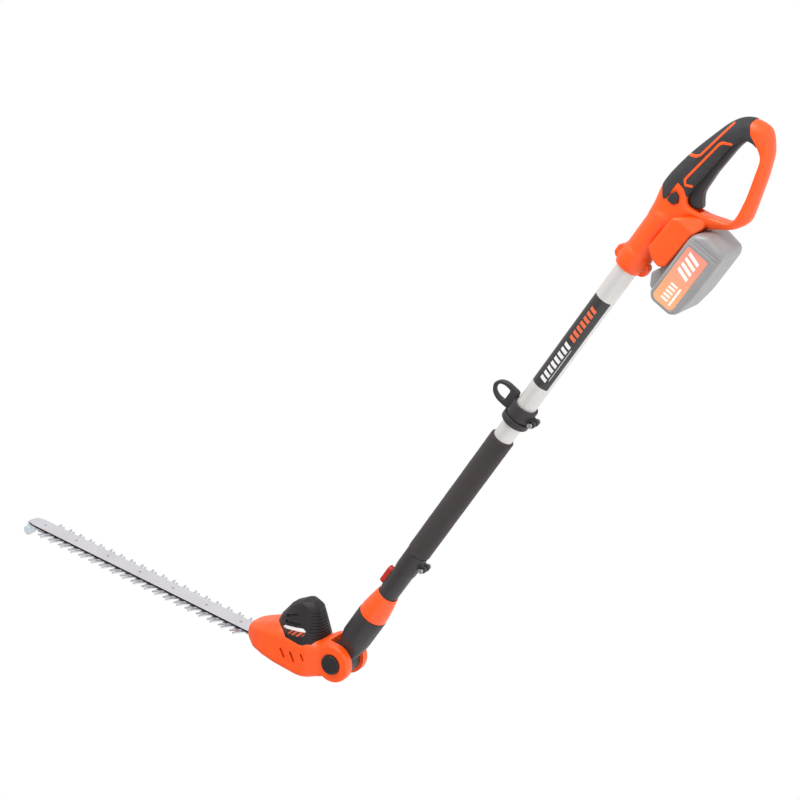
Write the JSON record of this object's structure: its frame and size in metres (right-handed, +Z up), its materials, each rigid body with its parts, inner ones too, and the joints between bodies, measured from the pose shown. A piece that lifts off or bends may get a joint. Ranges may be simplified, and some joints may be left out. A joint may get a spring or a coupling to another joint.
{
  "type": "pole hedge trimmer",
  "caption": "Cordless pole hedge trimmer: tilting double-sided blade head, two-part pole with foam grip, strap collar and a D-handle with slide-on battery.",
  "frame": {"origin": "on the pole's axis, at the middle of the labelled stretch of tube, 700 mm behind the head's tilt pivot", "axes": "+X along the pole towards the cutting head, +Y to the operator's left, +Z up with the grip on top"},
  "size_m": [1.3936, 0.075, 0.7006],
  "materials": {
    "pole_aluminium": "satin drawn tube",
    "label_film": "printed film, satin",
    "grip_foam": "closed-cell foam, matt",
    "black_plastic": "fine moulded texture",
    "cover_black": "satin moulded",
    "inner_plastic": "moulded",
    "soft_black": "soft overmould, fine texture",
    "orange_plastic": "satin moulded",
    "red_plastic": "satin moulded",
    "grey_plastic": "light moulded grey",
    "guard_plastic": "pale moulded",
    "zinc_steel": "zinc plated",
    "spring_steel": "bright wire",
    "gear_steel": "machined",
    "rotor_steel": "laminated",
    "blade_steel": "ground and cut",
    "bar_steel": "nickel plated",
    "cast_plate": "die cast",
    "bronze": "sintered",
    "magnet": "sintered",
    "board_green": "solder mask",
    "cable_rubber": "cable sheath",
    "cell_wrap": "shrink film"
  },
  "bodies": {
    "pole": {"upper_tube": "pole_aluminium", "tube_label": "label_film", "foam_grip": "grip_foam", "coupling_sleeve": "black_plastic", "coupling_clamp_bolt": "zinc_steel", "button_spring": "spring_steel", "coupling_socket": "inner_plastic", "pole_cable": "cable_rubber", "handle_shell_left": "orange_plastic", "handle_shell_right": "orange_plastic", "grip_pad_left": "soft_black", "grip_pad_right": "soft_black", "handle_screws": "zinc_steel", "trigger_pin": "zinc_steel", "trigger_switch": "inner_plastic", "trigger_spring": "spring_steel", "control_board": "board_green", "lock_off_spring": "spring_steel", "battery_terminals": "inner_plastic"},
    "coupling_button": {"coupling_button": "red_plastic"},
    "strap_collar": {"strap_collar": "black_plastic", "strap_bolt": "zinc_steel"},
    "trigger": {"trigger": "black_plastic"},
    "lock_off": {"lock_off_button": "black_plastic"},
    "battery": {"battery_case_lower": "grey_plastic", "battery_case_upper": "grey_plastic", "latch_spring": "spring_steel", "battery_cells": "cell_wrap", "battery_screws": "zinc_steel"},
    "battery_latch": {"battery_latch": "grey_plastic"},
    "knuckle": {"knuckle_spigot": "pole_aluminium", "knuckle_left": "black_plastic", "knuckle_right": "black_plastic", "knuckle_screws": "zinc_steel", "spigot_plug": "inner_plastic", "head_cable": "cable_rubber"},
    "lock_collar": {"lock_collar": "orange_plastic"},
    "head": {"gear_housing_left": "orange_plastic", "gear_housing_right": "orange_plastic", "housing_screws": "zinc_steel", "motor_cover": "cover_black", "motor_can": "zinc_steel", "motor_magnets": "magnet", "motor_bearings": "bronze", "gearbox_plate": "cast_plate", "gear_bearings": "zinc_steel", "blade_guide_bar": "bar_steel", "blade_screws": "zinc_steel", "tip_guard": "guard_plastic", "pivot_bolt": "zinc_steel", "pivot_cap": "black_plastic", "tilt_spring": "spring_steel"},
    "tilt_button": {"tilt_button": "black_plastic"},
    "rotor": {"motor_rotor": "rotor_steel", "fan_disc": "inner_plastic", "motor_pinion": "gear_steel"},
    "crank": {"drive_gear": "gear_steel", "crankshaft": "gear_steel"},
    "upper_blade": {"blade_upper": "blade_steel"},
    "lower_blade": {"blade_lower": "blade_steel"}
  },
  "joints": [
    {"name": "coupling_button_press", "type": "slide", "parent": "pole", "child": "coupling_button", "axis": [0, 0, -1], "range_m": [0, 0.0025], "stiffness_N_per_m": 600, "springref_m": -0.004, "deforming": ["button_spring"]},
    {"name": "strap_collar_slide", "type": "slide", "parent": "pole", "child": "strap_collar", "axis": [1, 0, 0], "range_m": [-0.24, 0.028]},
    {"name": "trigger_pull", "type": "hinge", "parent": "pole", "child": "trigger", "pos_m": [-0.347, 0, -0.019], "axis": [0, -1, 0], "range_deg": [0, 3.2], "stiffness_Nm_per_rad": 4, "springref_deg": -6.88, "deforming": ["trigger_spring"]},
    {"name": "lock_off_slide", "type": "slide", "parent": "pole", "child": "lock_off", "axis": [0, 1, 0], "range_m": [-0.003, 0.003], "stiffness_N_per_m": 400, "deforming": ["lock_off_spring"]},
    {"name": "battery_slide", "type": "slide", "parent": "pole", "child": "battery", "axis": [1, 0, 0], "range_m": [0, 0.11]},
    {"name": "battery_latch_press", "type": "slide", "parent": "battery", "child": "battery_latch", "axis": [0, 0, -1], "range_m": [0, 0.0009], "stiffness_N_per_m": 800, "springref_m": -0.003, "deforming": ["latch_spring"]},
    {"name": "head_coupling_slide", "type": "slide", "parent": "pole", "child": "knuckle", "axis": [1, 0, 0], "range_m": [0, 0.05]},
    {"name": "lock_collar_turn", "type": "hinge", "parent": "knuckle", "child": "lock_collar", "pos_m": [0.567, 0, 0], "axis": [1, 0, 0], "range_deg": [0, 120]},
    {"name": "head_tilt", "type": "hinge", "parent": "knuckle", "child": "head", "pos_m": [0.7, 0, 0], "axis": [0, 1, 0], "range_deg": [-8, 126]},
    {"name": "tilt_button_press", "type": "slide", "parent": "head", "child": "tilt_button", "axis": [0, -1, 0], "range_m": [0, 0.004], "stiffness_N_per_m": 900, "springref_m": -0.003, "deforming": ["tilt_spring"]},
    {"name": "motor_spin", "type": "hinge", "parent": "head", "child": "rotor", "pos_m": [0.69174, 0, 0.08195], "axis": [-0.9184, 0, 0.3955], "continuous": true},
    {"name": "crank_spin", "type": "hinge", "parent": "head", "child": "crank", "pos_m": [0.74868, 0, 0.09281], "axis": [-0.9184, 0, 0.3955], "continuous": true},
    {"name": "upper_blade_stroke", "type": "slide", "parent": "head", "child": "upper_blade", "axis": [0.3955, 0, 0.9184], "range_m": [-0.011, 0.005]},
    {"name": "lower_blade_stroke", "type": "slide", "parent": "head", "child": "lower_blade", "axis": [0.3955, 0, 0.9184], "range_m": [-0.005, 0.011]}
  ],
  "couplings": [
    {"joint": "motor_spin", "follows": "crank_spin", "ratio": -4},
    {"joint": "lower_blade_stroke", "follows": "upper_blade_stroke", "ratio": -1}
  ]
}
